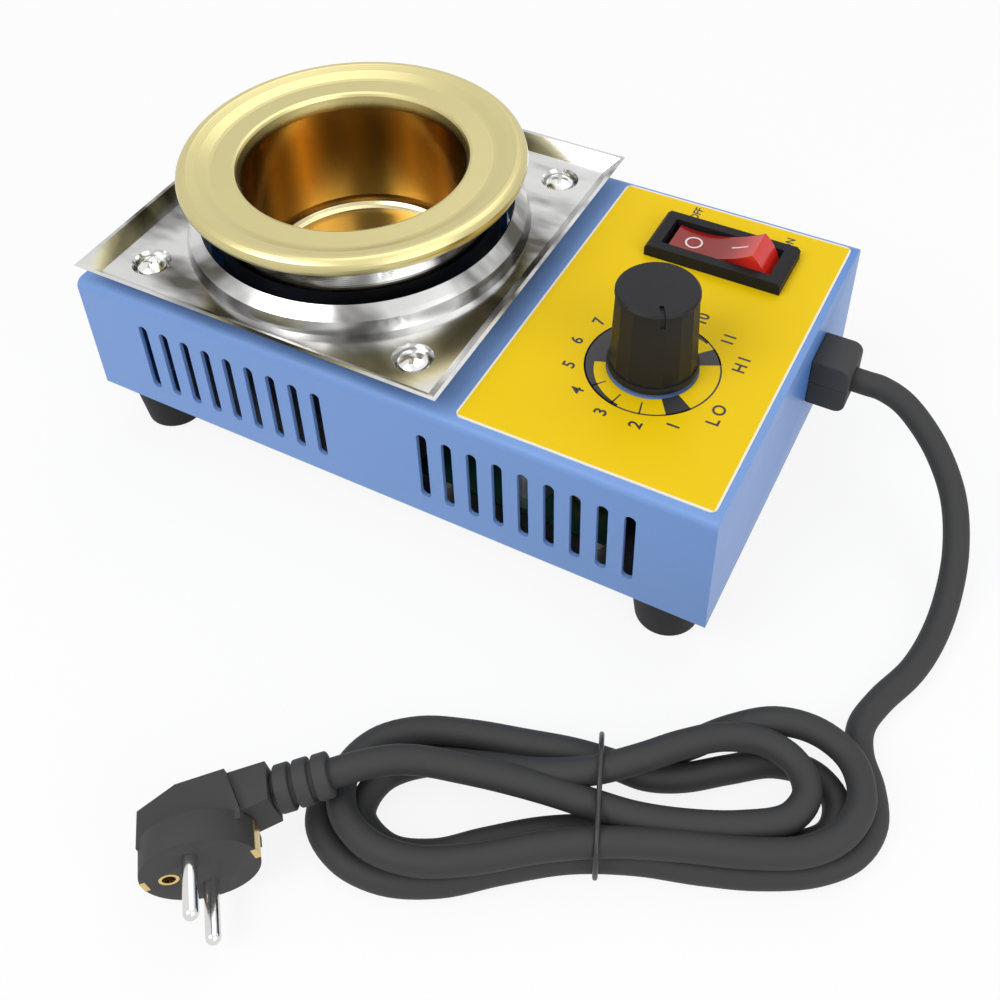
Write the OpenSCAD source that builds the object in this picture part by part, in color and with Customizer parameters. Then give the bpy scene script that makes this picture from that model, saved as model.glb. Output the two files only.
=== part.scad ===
// Solder pot: a folded sheet housing with vent slots, a pressed drip tray, a crucible
// in its furnace can, a dial regulator, a rocker switch and a mains lead with its plug.
// X runs along the housing, Y to its back, Z up. The floor is Z = 0.

/* [Housing] */
// Length of the housing
body_l = 152; // [146:1:180]
// Width of the housing
body_w = 89; // [86:1:104]
// Height of the housing
body_h = 31.5; // [30:0.5:44]
// Sheet thickness of the housing and of its base plate
sheet_t = 1; // [0.8:0.1:1.3]
// Outside radius of the long top folds
fold_r = 2; // [1.5:0.1:3]
// Side of the square tabs that the base plate is screwed to
tab_side = 13; // [12:0.5:16]

/* [Vents] */
// Width of a vent slot
slot_w = 2.4; // [1.6:0.1:3]
// Height of a vent slot
slot_h = 19; // [12:0.5:22]
// Distance between neighbouring slots
slot_pitch = 5.75; // [4.5:0.05:6.5]
// Slots in one group
slot_count = 9; // [5:1:9]
// Distance from the housing's middle to the middle of a slot group
slot_group_x = 36; // [32:0.5:38]
// Height of the slots' lower ends above the housing's lower edge
slot_sill = 5.5; // [4:0.5:8]

/* [Feet] */
// Height of a rubber foot
foot_h = 13; // [10:0.5:18]
// Diameter of a foot where it meets the base plate
foot_top_d = 16.6; // [14:0.2:20]
// Diameter of a foot at the floor
foot_floor_d = 13.6; // [12:0.2:16]
// Distance from the housing's ends to the feet's middles
foot_inset_x = 11; // [10:0.5:16]
// Distance from the housing's sides to the feet's middles
foot_inset_y = 9; // [9:0.5:14]

/* [Drip tray] */
// Length of the tray's flat
tray_l = 84.5; // [83:0.5:90]
// Width of the tray's flat
tray_w = 83; // [82:1:96]
// Distance from the housing's left end to the tray's flat
tray_inset = 5.4; // [3:0.1:7]
// Height of the flared lips, and how far they reach out
lip_h = 3; // [2:0.1:4]
// Sheet thickness of the tray
tray_t = 0.6; // [0.5:0.05:0.8]
// Height of the tray's upper face above the housing
tray_rise = 2.6; // [2:0.1:3.6]
// Gap between the collar's mouth and the furnace's skirt
collar_gap = 2.5; // [2:0.1:3.5]
// Height of the collar's mouth above the tray's upper face
collar_h = 5.4; // [5:0.1:6.4]
// Distance between the tray's screws, along and across
tray_screw_pitch = 68; // [67.5:0.1:70]

/* [Crucible and furnace] */
// Bore of the crucible
bore_d = 50; // [44:0.5:52]
// Depth of the crucible below its flange
bore_depth = 32; // [24:0.5:34]
// Wall and floor thickness of the crucible
pot_wall = 2; // [1.5:0.1:2.2]
// Outside diameter of the crucible's rolled brim
brim_d = 78; // [76:0.5:84]
// Height of the crucible's flange above the housing
brim_z = 20; // [19:0.5:26]
// Radius of the roll at the brim's edge
roll_r = 2.2; // [1.8:0.1:2.4]
// Outside diameter of the polished skirt under the brim
skirt_d = 66; // [65.5:0.1:67]
// Height of the polished skirt
skirt_h = 8.4; // [6:0.1:8.8]
// Sheet thickness of the skirt and of the furnace can
can_t = 0.6; // [0.5:0.1:0.8]
// Distance from the tray's middle to the crucible's axis
pot_offset = -0.6; // [-1:0.1:1]

/* [Controls] */
// Distance from the housing's right end to the dial's and the switch's middles
control_inset = 26.7; // [25:0.1:28]
// Place of the dial across the housing
dial_y = -12.2; // [-14:0.1:-10]
// Place of the switch across the housing
switch_y = 26.7; // [24:0.1:28]
// Diameter of the knob at its foot
knob_d = 18.4; // [17:0.1:20]
// Diameter of the knob's top face
knob_top_d = 16.8; // [15:0.1:17]
// Height of the knob
knob_h = 19.8; // [16:0.1:24]
// Flats round the knob
knob_flats = 16; // [12:1:20]
// Direction that the knob's pointer shows at rest, in degrees from +X
pointer_angle = -60; // [-90:1:-30]
// Diameter of the regulator's spindle
spindle_d = 6; // [5:0.1:6.4]
// Length of the label
label_l = 54.7; // [50:0.1:56]
// Thickness of the label
label_t = 0.3; // [0.2:0.05:0.5]
// Length of the switch's bezel
bezel_l = 31.5; // [30.5:0.1:34]
// Width of the switch's bezel
bezel_w = 14; // [13.6:0.1:16]
// Height of the switch's bezel
bezel_h = 3; // [2:0.1:3.4]
// Width of the rocker
rocker_w = 8.6; // [7:0.1:8.8]
// Radius of the rocker's ends about its pivot
rocker_r = 12.3; // [11.5:0.1:12.4]
// Angle between the rocker's two positions
rocker_throw = 26; // [20:1:27]

/* [Mains lead] */
// Diameter of the mains lead
cord_d = 5.4; // [5:0.1:6.4]
// Place of the mains lead's outlet across the housing
outlet_y = 17.4; // [16:0.1:17.6]
// Height of the outlet above the housing's lower edge
outlet_h = 17.3; // [15:0.1:18]
// How far the strain relief stands out of the housing
relief_out = 8.5; // [7:0.1:10]
// Diameter of the plug's face
plug_d = 20.8; // [20:0.1:23]
// Diameter of a plug pin
pin_d = 2.7; // [2.4:0.1:3.2]
// Length of a plug pin
pin_l = 10.7; // [10:0.1:12]
// Distance between the plug pins
pin_pitch = 10.7; // [10:0.1:11.4]

/* [Hidden] */
$fn = 64;
e = 0.01;

// Housing: its ends, its middle and its levels. The origin is under the middle of the whole
// object without its cord, from the tray's left lip to the strain relief's outer face.
lip_over = max(0, lip_h - tray_inset);
total_l = lip_over + body_l + relief_out;
x0 = lip_over - total_l / 2;
x1 = x0 + body_l;
xc = (x0 + x1) / 2;
zb = foot_h;
zt = foot_h + body_h;
plate_gap = 0.1;
plate_z = zb + sheet_t;
foot_x = body_l / 2 - foot_inset_x;
foot_y = body_w / 2 - foot_inset_y;
screw_d = 3;
head_d = 5.8;
head_h = 1.8;
foot_web = 5;

// Tray, furnace and crucible
tray_x = x0 + tray_inset + tray_l / 2;
tray_z = zt + tray_rise;
tray_screw_d = 6.4;
dimple_d = 8.6;
pot_x = tray_x + pot_offset;
skirt_r = skirt_d / 2;
collar_d = skirt_d + 2 * collar_gap;
flange_z = zt + brim_z;
flange_t = 2.6;
skirt_top = flange_z - flange_t;
can_r = skirt_r - can_t - 0.1;
floor_z = flange_z - bore_depth;
pot_r = bore_d / 2 + pot_wall;
can_floor = floor_z - pot_wall - 2;
furnace_hole_r = can_r + 2.2;
band_gap = 0.1;
band_t = 1.5;
post_d = 6;
post_ring_r = 22;

// Controls
ctl_x = x1 - control_inset;
label_w = body_w - 2 * fold_r - 0.4;
label_x = x1 - 1.5 - label_l;
label_hole_d = knob_d + 0.6;
knob_z = zt + label_t + 1.1;
knob_top = knob_z + knob_h;
bush_d = 7;
nut_across = 10;
run_gap = 0.05;
reg_d = 17;
reg_h = 9;
reg_z = zt - sheet_t - reg_h;
spindle_foot = reg_z + 1.5;
spindle_top = knob_top - 2.6;
pivot_z = zt - 2.5;
pivot_d = 2.4;
well_l = 2 * rocker_r + 0.8;
well_w = rocker_w + 0.7;
well_h = 7;
switch_l = bezel_l - 3.4;
switch_w = bezel_w - 1.8;
switch_h = 14;
blade_l = 6.5;

// Strain relief in the right end wall
out_x = x1 + relief_out;
out_z = zb + outlet_h;
relief_w = 10.4;
relief_h = 12.4;
neck_w = 8.2;
neck_h = 10.2;

// Inner parts
board_l = 44;
board_w = 36;
board_t = 1.6;
board_x = x1 - 68;
board_y = -body_w / 2 + 5;
board_z = plate_z + 5;
block_x = x1 - 16.5;
block_pitch = 5.5;

// Plug: its face middle stands one radius above the floor
plug_at = [12.2, -128, plug_d / 2];
plug_turn = 40;
plug_roll = -10;
sleeve_y = 10.4;
sleeve_x0 = 14;
sleeve_x1 = 24.5;
socket_x = -5.6;
socket_d = 3.6;
socket_gap = 0.02;
clip_w = 3;
clip_l = 5.5;

// Hank: the two middles of its round ends, its half width and its height
hank_a = [33.7, -99.7];
hank_b = [96.8, -64.7];
hank_r = 14.4;
hank_h = 11;

// Direction v of the plug's own frame, as it lies
function turned(v) = let (
    x = v[0] * cos(plug_roll) + v[2] * sin(plug_roll), z = v[2] * cos(plug_roll) - v[0] * sin(plug_roll)
) [x * cos(plug_turn) - v[1] * sin(plug_turn), x * sin(plug_turn) + v[1] * cos(plug_turn), z];

// Points of the lead from the strain relief to the hank, then from the plug to the hank
run_points = [
    [out_x, outlet_y, out_z], [out_x + 3, outlet_y, out_z], [out_x + 6, outlet_y, out_z],
    [91, 16.9, 29], [96, 15, 26.4], [101.6, 11.8, 22.2], [107, 6.6, 16.5], [110.6, -1.2, 10.4], [112, -10, 5.8], [111.8, -19.2, 3.6], [110, -28.6, 3],
    [106.2, -38, 3], [100.2, -46.5, 3.4], [92.2, -53, 4.6]
];
sleeve_end = plug_at + turned([sleeve_x1, sleeve_y, 0]);
tail_points = [
    sleeve_end, sleeve_end + turned([5, 0, 0]), [32.7, -97.1, 15.4], [37.7, -94.5, 13.4], [43.2, -92.5, 8.4]
];

module at_feet() {
    for (sx = [-1, 1], sy = [-1, 1])
        translate([xc + sx * foot_x, sy * foot_y, 0]) children();
}

module at_tray_screws() {
    for (sx = [-1, 1], sy = [-1, 1])
        translate([tray_x + sx * tray_screw_pitch / 2, sy * tray_screw_pitch / 2, 0]) children();
}

// Upright slot through a long wall, centred on its own foot
module slot(depth) {
    translate([-slot_w / 2, -depth / 2, slot_w / 2]) cube([slot_w, depth, slot_h - slot_w]);
    for (z = [slot_w / 2, slot_h - slot_w / 2])
        translate([0, depth / 2, z]) rotate([90, 0, 0]) cylinder(d = slot_w, h = depth);
}

module fold_profile(w, h, r) {
    translate([-w / 2, 0]) square([w, h - r]);
    translate([r - w / 2, 0]) square([w - 2 * r, h]);
    for (s = [-1, 1]) translate([s * (w / 2 - r), h - r]) circle(r = r);
}

module housing() {
    color([0.27, 0.45, 0.83])
    difference() {
        union() {
            difference() {
                translate([x0, 0, zb]) rotate([90, 0, 90])
                    linear_extrude(body_l) fold_profile(body_w, body_h, fold_r);
                translate([x0 + sheet_t, 0, zb - e]) rotate([90, 0, 90])
                    linear_extrude(body_l - 2 * sheet_t)
                        fold_profile(body_w - 2 * sheet_t, body_h - sheet_t + e, fold_r - sheet_t);
            }
            for (sx = [-1, 1], sy = [-1, 1])
                translate([xc + sx * (body_l - tab_side) / 2 - tab_side / 2,
                           sy * (body_w - tab_side) / 2 - tab_side / 2, plate_z])
                    cube([tab_side, tab_side, sheet_t]);
        }
        for (g = [-1, 1], i = [0:slot_count - 1])
            translate([xc + g * slot_group_x + (i - (slot_count - 1) / 2) * slot_pitch, 0,
                       zb + slot_sill])
                slot(body_w + 2);
        translate([pot_x, 0, zt - sheet_t - e]) cylinder(r = furnace_hole_r, h = sheet_t + 2 * e);
        at_tray_screws() translate([0, 0, zt - sheet_t - e]) cylinder(d = screw_d, h = sheet_t + 2 * e);
        translate([ctl_x, dial_y, zt - sheet_t - e]) cylinder(d = bush_d, h = sheet_t + 2 * e);
        translate([ctl_x - switch_l / 2, switch_y - switch_w / 2, zt - sheet_t - e])
            cube([switch_l, switch_w, sheet_t + 2 * e]);
        translate([x1 - sheet_t - e, outlet_y - neck_w / 2, out_z - neck_h / 2])
            cube([sheet_t + 2 * e, neck_w, neck_h]);
        at_feet() translate([0, 0, plate_z - e]) cylinder(d = screw_d, h = sheet_t + 2 * e);
    }
}

module base_plate() {
    in_l = body_l - 2 * sheet_t - 2 * plate_gap;
    in_w = body_w - 2 * sheet_t - 2 * plate_gap;
    color([0.62, 0.63, 0.65])
    difference() {
        translate([xc - in_l / 2, -in_w / 2, zb]) cube([in_l, in_w, sheet_t]);
        at_feet() translate([0, 0, zb - e]) cylinder(d = screw_d, h = sheet_t + 2 * e);
        for (a = [0:120:240])
            translate([pot_x, 0, zb - e]) rotate(a) translate([post_ring_r, 0, 0])
                cylinder(d = screw_d, h = sheet_t + 2 * e);
    }
}

module feet() {
    color([0.06, 0.06, 0.06])
    at_feet() difference() {
        rotate_extrude() polygon([
            [0, 0], [foot_floor_d / 2 - 1, 0], [foot_floor_d / 2, 1],
            [foot_top_d / 2, foot_h], [0, foot_h]
        ]);
        translate([0, 0, -e]) cylinder(d = head_d + 1, h = foot_h - foot_web + e);
        cylinder(d = screw_d, h = foot_h + e);
    }
}

// Pan head screw: its shank goes up from the head's seat at z = 0
module pan_screw(d, length, head, depth) {
    cylinder(d = d, h = length);
    difference() {
        translate([0, 0, -depth]) cylinder(d = head, h = depth);
        for (a = [0, 90]) rotate(a)
            translate([-head / 3, -0.4, -depth - e]) cube([head * 2 / 3, 0.8, depth / 2]);
    }
}

module foot_screws() {
    color([0.75, 0.76, 0.78])
    at_feet() translate([0, 0, foot_h - foot_web])
        pan_screw(screw_d, foot_web + 2 * sheet_t + 1, head_d, head_h);
}

// Frustum with a flat foot of l x w, whose sides lean out at 45 degrees over height h
module flared_block(l, w, h) {
    polyhedron(
        points = [
            [-l / 2, -w / 2, 0], [l / 2, -w / 2, 0], [l / 2, w / 2, 0], [-l / 2, w / 2, 0],
            [-l / 2 - h, -w / 2 - h, h], [l / 2 + h, -w / 2 - h, h],
            [l / 2 + h, w / 2 + h, h], [-l / 2 - h, w / 2 + h, h]
        ],
        faces = [
            [0, 1, 2, 3], [7, 6, 5, 4], [4, 5, 1, 0], [5, 6, 2, 1], [6, 7, 3, 2], [7, 4, 0, 3]
        ]
    );
}

// Half profile of the pressed collar, from the tray's flat up to its rolled mouth
module collar_profile() {
    r = collar_d / 2;
    t = tray_t;
    polygon([
        [r + 4.4, -t], [r + 3.6, -t], [r + 2.6, collar_h - 2.6], [r + 1.9, collar_h - 1.7 - t],
        [r + t, collar_h - t - 0.2], [r + t, collar_h - 2.4], [r, collar_h - 2.4],
        [r, collar_h - 0.3], [r + 0.4, collar_h], [r + 2.4, collar_h - 1.7],
        [r + 3.2, collar_h - 2.4], [r + 4, 0], [r + 4.4, 0]
    ]);
}

module dimple_profile() {
    r = dimple_d / 2;
    t = tray_t;
    drop = tray_rise;
    polygon([
        [r + 0.1, 0], [r - 0.9, t - drop], [screw_d / 2 + 0.1, t - drop],
        [screw_d / 2 + 0.1, -drop], [r - 0.7, -drop], [r + 0.1, -t]
    ]);
}

module drip_tray() {
    lean = tray_t * (sqrt(2) - 1);
    color([0.82, 0.83, 0.85])
    translate([0, 0, tray_z]) {
        difference() {
            translate([tray_x, 0, -tray_t])
                flared_block(tray_l, tray_w, lip_h + tray_t);
            translate([tray_x, 0, 0])
                flared_block(tray_l - 2 * lean, tray_w - 2 * lean, lip_h + 1);
            translate([pot_x, 0, -tray_t - e]) cylinder(d = collar_d + 8.8, h = tray_t + 1);
            at_tray_screws() translate([0, 0, -tray_t - e])
                cylinder(d = dimple_d + 0.2, h = tray_t + 1);
        }
        translate([pot_x, 0, 0]) rotate_extrude($fn = 96) collar_profile();
        at_tray_screws() rotate_extrude() dimple_profile();
    }
}

module tray_screws() {
    seat = zt + tray_t;
    shank = tray_t + sheet_t + 3;
    color([0.8, 0.81, 0.83])
    at_tray_screws() translate([0, 0, seat]) {
        translate([0, 0, -shank]) cylinder(d = screw_d, h = shank);
        difference() {
            intersection() {
                cylinder(d = tray_screw_d, h = 2.4);
                translate([0, 0, -2.6]) sphere(r = 5);
            }
            for (a = [20, 110]) rotate(a)
                translate([-1.9, -0.45, 1.2]) cube([3.8, 0.9, 2]);
        }
    }
}

module tray_nuts() {
    color([0.7, 0.71, 0.73])
    at_tray_screws() translate([0, 0, zt - sheet_t - 2.4]) difference() {
        cylinder(d = 6.3, h = 2.4, $fn = 6);
        translate([0, 0, -e]) cylinder(d = screw_d, h = 2.4 + 2 * e);
    }
}

function arc(x, z, r, from, to, steps) =
    [for (i = [0:steps]) let (a = from + (to - from) * i / steps) [x + r * cos(a), z + r * sin(a)]];

// Half profile of the crucible: round floor, wall, underside, rolled brim, slope, flat and lip
module crucible_profile() {
    b = bore_d / 2;
    roll_x = brim_d / 2 - roll_r;
    roll_z = -0.27 * roll_r;
    corner = 3;
    polygon([
        [0, -bore_depth - pot_wall],
        each arc(pot_r - corner, corner - bore_depth - pot_wall, corner, -90, 0, 5),
        [pot_r, -flange_t], [roll_x - 1.2, -flange_t],
        each arc(roll_x, roll_z, roll_r, -100, 112, 14),
        [roll_x - 2.4, 1.1], [roll_x - 4.6, 0.15], [roll_x - 5.4, 0],
        [b + 1.7, 0], [b + 1.1, -0.25], [b + 0.8, -0.8], [b, -3.5],
        each arc(b - corner, corner - bore_depth, corner, 0, -90, 5),
        [0, -bore_depth]
    ]);
}

module crucible() {
    color([0.83, 0.76, 0.42])
    translate([pot_x, 0, flange_z]) rotate_extrude($fn = 96) crucible_profile();
}

module furnace_skirt() {
    color([0.8, 0.81, 0.83])
    translate([pot_x, 0, skirt_top - skirt_h]) rotate_extrude() {
        translate([skirt_r - can_t, 0]) square([can_t, skirt_h]);
        translate([pot_r + band_gap, skirt_h - can_t])
            square([skirt_r - pot_r - band_gap, can_t]);
    }
}

module furnace_can() {
    color([0.3, 0.3, 0.32])
    translate([pot_x, 0, can_floor - can_t]) rotate_extrude() {
        square([can_r, can_t]);
        translate([can_r - can_t, 0]) square([can_t, skirt_top - can_floor]);
    }
}

module insulation_wall() {
    inner = pot_r + 2 * band_gap + band_t;
    color([0.9, 0.89, 0.84])
    translate([pot_x, 0, can_floor]) rotate_extrude()
        translate([inner, 0]) square([can_r - can_t - inner, skirt_top - can_t - can_floor]);
}

module insulation_disc() {
    color([0.92, 0.9, 0.86])
    translate([pot_x, 0, can_floor]) cylinder(r = pot_r, h = floor_z - pot_wall - can_floor);
}

module heater_band() {
    color([0.55, 0.5, 0.4])
    translate([pot_x, 0, can_floor]) rotate_extrude()
        translate([pot_r + band_gap, 0]) square([band_t, 26]);
}

module at_posts(z) {
    for (a = [0:120:240])
        translate([pot_x, 0, z]) rotate(a) translate([post_ring_r, 0, 0]) children();
}

module can_posts() {
    post_h = can_floor - can_t - plate_z;
    color([0.7, 0.71, 0.73])
    at_posts(plate_z) difference() {
        cylinder(d = post_d, h = post_h);
        translate([0, 0, -e]) cylinder(d = screw_d, h = post_h / 2 + e);
    }
}

module post_screws() {
    color([0.75, 0.76, 0.78])
    at_posts(zb) pan_screw(screw_d, sheet_t + (can_floor - can_t - plate_z) / 2, head_d, head_h);
}

module panel_label() {
    r = 1.5;
    color([0.97, 0.82, 0.08])
    translate([label_x, -label_w / 2, zt]) difference() {
        union() {
            translate([r, 0, 0]) cube([label_l - 2 * r, label_w, label_t]);
            translate([0, r, 0]) cube([label_l, label_w - 2 * r, label_t]);
            for (x = [r, label_l - r], y = [r, label_w - r])
                translate([x, y, 0]) cylinder(r = r, h = label_t);
        }
        translate([ctl_x - label_x, dial_y + label_w / 2, -e])
            cylinder(d = label_hole_d, h = label_t + 2 * e);
        translate([ctl_x - label_x - switch_l / 2, switch_y + label_w / 2 - switch_w / 2, -e])
            cube([switch_l, switch_w, label_t + 2 * e]);
    }
}

// Tapered knob with broad flats, a round top face and a hollow foot that clears the nut
module knob() {
    recess_d = nut_across * 1.3;
    flat_r = knob_d / 2 - 0.35;
    lean = atan((knob_d - knob_top_d) / 2 / knob_h);
    color([0.1, 0.1, 0.11])
    translate([ctl_x, dial_y, knob_z]) difference() {
        rotate_extrude() polygon([
            [0, 0], [knob_d / 2 + 0.2, 0], [knob_d / 2 + 0.2, 0.8], [knob_d / 2, 1.4],
            [knob_top_d / 2, knob_h - 0.4], [knob_top_d / 2 - 0.4, knob_h], [0, knob_h]
        ]);
        for (i = [0:knob_flats - 1])
            rotate(i * 360 / knob_flats) translate([flat_r, -knob_d / 4, 1.4]) rotate([0, -lean, 0])
                cube([2, knob_d / 2, knob_h - 2.4]);
        translate([0, 0, -e]) cylinder(d = recess_d, h = 4.2 + e);
        cylinder(d = spindle_d, h = spindle_top - knob_z);
        rotate(pointer_angle) {
            translate([knob_top_d / 2 - 3.4, -0.45, knob_h - 0.6]) cube([6, 0.9, 1]);
            translate([knob_top_d / 2 - 0.4, -0.45, knob_h - 3]) cube([3, 0.9, 3]);
        }
    }
}

module spindle() {
    color([0.78, 0.79, 0.8])
    translate([ctl_x, dial_y, spindle_foot]) cylinder(d = spindle_d, h = spindle_top - spindle_foot);
}

module regulator() {
    color([0.45, 0.46, 0.48])
    translate([ctl_x, dial_y, 0]) difference() {
        union() {
            translate([0, 0, reg_z]) cylinder(d = reg_d, h = reg_h);
            translate([0, 0, reg_z]) cylinder(d = bush_d, h = zt + 4 - reg_z);
            for (i = [-1:1])
                translate([i * 4 - 1, -reg_d / 2 - 4, reg_z + 1]) cube([2, 6, 0.8]);
        }
        translate([0, 0, spindle_foot - 0.3])
            cylinder(d = spindle_d + 2 * run_gap, h = body_h);
    }
}

module regulator_washer() {
    color([0.75, 0.76, 0.78])
    translate([ctl_x, dial_y, zt]) difference() {
        cylinder(d = nut_across + 1.6, h = 0.6);
        translate([0, 0, -e]) cylinder(d = bush_d, h = 1);
    }
}

module regulator_nut() {
    color([0.78, 0.77, 0.72])
    translate([ctl_x, dial_y, zt + 0.6]) difference() {
        cylinder(d = nut_across * 2 / sqrt(3), h = 2.2, $fn = 6);
        translate([0, 0, -e]) cylinder(d = bush_d, h = 3);
    }
}

// Bezel on the label and body under the panel, with the rocker's well and its pivot bores
module switch_body() {
    top = label_t + bezel_h;
    edge = 0.8;
    color([0.09, 0.09, 0.1])
    translate([ctl_x, switch_y, zt]) difference() {
        union() {
            translate([-bezel_l / 2, -bezel_w / 2, label_t])
                cube([bezel_l, bezel_w, bezel_h - edge]);
            translate([-bezel_l / 2, bezel_w / 2, top - edge]) rotate([90, 0, 0])
                linear_extrude(bezel_w) polygon([
                    [0, 0], [bezel_l, 0], [bezel_l - edge, edge], [edge, edge]
                ]);
            translate([-switch_l / 2, -switch_w / 2, -switch_h])
                cube([switch_l, switch_w, switch_h + label_t]);
            for (a = [0, 180]) rotate(a)
                translate([switch_l / 2, 2, -sheet_t]) rotate([90, 0, 0])
                    linear_extrude(4) polygon([[-e, 0], [0.9, -0.1], [0.9, -1], [-e, -5]]);
        }
        translate([-well_l / 2, -well_w / 2, pivot_z - zt - well_h])
            cube([well_l, well_w, top - (pivot_z - zt) + well_h + 1]);
        for (s = [-1, 1]) translate([0, s * (well_w / 2 + 0.5), pivot_z - zt]) rotate([90, 0, 0])
            translate([0, 0, -0.55]) cylinder(d = pivot_d + 2 * run_gap, h = 1.1);
    }
}

// Rocker: round ends about the pivot, a hollow top and two pivot pins
module rocker() {
    tip_angle = 35.6;
    tip_x = rocker_r * cos(tip_angle);
    tip_z = rocker_r * sin(tip_angle);
    dip = 2;
    dish_r = (tip_x * tip_x + dip * dip) / (2 * dip);
    color([0.75, 0.06, 0.05])
    translate([ctl_x, switch_y, pivot_z]) rotate([0, -rocker_throw / 2, 0]) {
        translate([0, rocker_w / 2, 0]) rotate([90, 0, 0]) linear_extrude(rocker_w) difference() {
            intersection() {
                circle(r = rocker_r, $fn = 96);
                translate([-rocker_r, -3]) square([2 * rocker_r, tip_z + 3]);
            }
            translate([0, tip_z - dip + dish_r]) circle(r = dish_r, $fn = 96);
        }
        for (s = [-1, 1]) translate([0, s * (rocker_w / 2 + 0.4), 0]) rotate([90, 0, 0])
            translate([0, 0, -0.4]) cylinder(d = pivot_d, h = 0.8);
    }
}

module switch_blades() {
    color([0.8, 0.7, 0.4])
    for (x = [-9, 0, 9])
        translate([ctl_x + x - 0.4, switch_y - 2.4, zt - switch_h - blade_l]) cube([0.8, 4.8, blade_l]);
}

module at_standoffs() {
    for (x = [4, board_l - 4], y = [4, board_w - 4])
        translate([board_x + x, board_y + y, 0]) children();
}

module control_board() {
    color([0.1, 0.35, 0.2])
    translate([board_x, board_y, board_z]) cube([board_l, board_w, board_t]);
}

module board_standoffs() {
    color([0.9, 0.9, 0.88])
    at_standoffs() translate([0, 0, plate_z]) cylinder(d = 5, h = board_z - plate_z);
}

module heat_sink() {
    color([0.7, 0.71, 0.73])
    translate([board_x + 7, board_y + 12, board_z + board_t]) {
        cube([2, 18, 13]);
        for (i = [0:4]) translate([2, i * 4, 0]) cube([5, 1.2, 13]);
    }
}

module power_switch() {
    color([0.12, 0.12, 0.12])
    translate([board_x + 2.5, board_y + 16, board_z + board_t]) cube([4.5, 10, 12]);
}

module film_capacitor() {
    color([0.65, 0.25, 0.12])
    translate([board_x + 16, board_y + 27, board_z + board_t]) cube([14, 6, 9]);
}

module round_capacitor() {
    color([0.6, 0.61, 0.63])
    translate([board_x + 24, board_y + 8, board_z + board_t]) rotate_extrude() {
        square([5.5, 11]);
        square([4.5, 12]);
        translate([4.5, 11]) circle(r = 1, $fn = 32);
    }
}

module choke() {
    color([0.7, 0.4, 0.2])
    translate([board_x + 37, board_y + 12, board_z + board_t + 2.5])
        rotate_extrude() translate([4.5, 0]) circle(r = 2.5, $fn = 32);
}

module terminal_block() {
    color([0.88, 0.88, 0.84])
    translate([block_x, outlet_y - 9, plate_z]) difference() {
        cube([11, 18, 9]);
        for (i = [-1:1]) translate([5.5, 9 + block_pitch * i, 4]) cylinder(d = 3.4, h = 6);
    }
}

// Three leads that leave the cord's stub, spread and drop into the terminal block
module inner_leads() {
    lead_d = 1.6;
    foot = plate_z + 4;
    tip_x = x1 - 8;
    turn_x = block_x + 5.5;
    color([0.35, 0.2, 0.1])
    for (i = [-1:1]) translate([0, outlet_y, 0]) {
        translate([turn_x, 1.8 * i, out_z]) rotate([0, 90, 0])
            cylinder(d = lead_d, h = tip_x - turn_x);
        translate([turn_x, 1.8 * i, out_z]) sphere(d = lead_d);
        if (i != 0)
            translate([turn_x, 1.8 * i, out_z]) rotate([-90 * i, 0, 0])
                cylinder(d = lead_d, h = block_pitch - 1.8);
        translate([turn_x, block_pitch * i, out_z]) sphere(d = lead_d);
        translate([turn_x, block_pitch * i, foot]) cylinder(d = lead_d, h = out_z - foot);
    }
}

// Both halves of the strain relief as one block, before it is parted at the cord's middle
module relief_block() {
    r = 2.4;
    inner_l = 3;
    difference() {
        union() {
            translate([x1, outlet_y + relief_w / 2, out_z]) rotate([90, 0, 0])
                linear_extrude(relief_w) {
                    translate([0, -relief_h / 2]) square([relief_out - r, relief_h]);
                    translate([0, r - relief_h / 2]) square([relief_out, relief_h - 2 * r]);
                    for (s = [-1, 1]) translate([relief_out - r, s * (relief_h / 2 - r)])
                        circle(r = r);
                }
            translate([x1 - sheet_t, outlet_y - neck_w / 2, out_z - neck_h / 2])
                cube([sheet_t + e, neck_w, neck_h]);
            translate([x1 - sheet_t - inner_l, outlet_y - relief_w / 2, out_z - relief_h / 2])
                cube([inner_l, relief_w, relief_h]);
        }
        translate([x1 - 6, outlet_y, out_z]) rotate([0, 90, 0])
            cylinder(d = cord_d, h = relief_out + 7);
    }
}

module relief_upper() {
    color([0.09, 0.09, 0.1])
    intersection() {
        relief_block();
        translate([x1 - 8, outlet_y - relief_w, out_z]) cube([relief_out + 10, 2 * relief_w, relief_h]);
    }
}

module relief_lower() {
    color([0.09, 0.09, 0.1])
    difference() {
        relief_block();
        translate([x1 - 8, outlet_y - relief_w, out_z]) cube([relief_out + 10, 2 * relief_w, relief_h]);
    }
}

module cord_stub() {
    color([0.07, 0.07, 0.07])
    translate([x1 - 8, outlet_y, out_z]) rotate([0, 90, 0]) cylinder(d = cord_d, h = relief_out + 8);
}

// Point on the smooth curve between points i and i + 1 of a route
function route_point(p, i, t) = let (
    a = p[max(i - 1, 0)], b = p[i], c = p[i + 1], d = p[min(i + 2, len(p) - 1)]
) b + t * (c - a) / 2 + t * t * (2 * a - 5 * b + 4 * c - d) / 2
    + t * t * t * (3 * b - a - 3 * c + d) / 2;

function unit(v) = v / norm(v);

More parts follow.
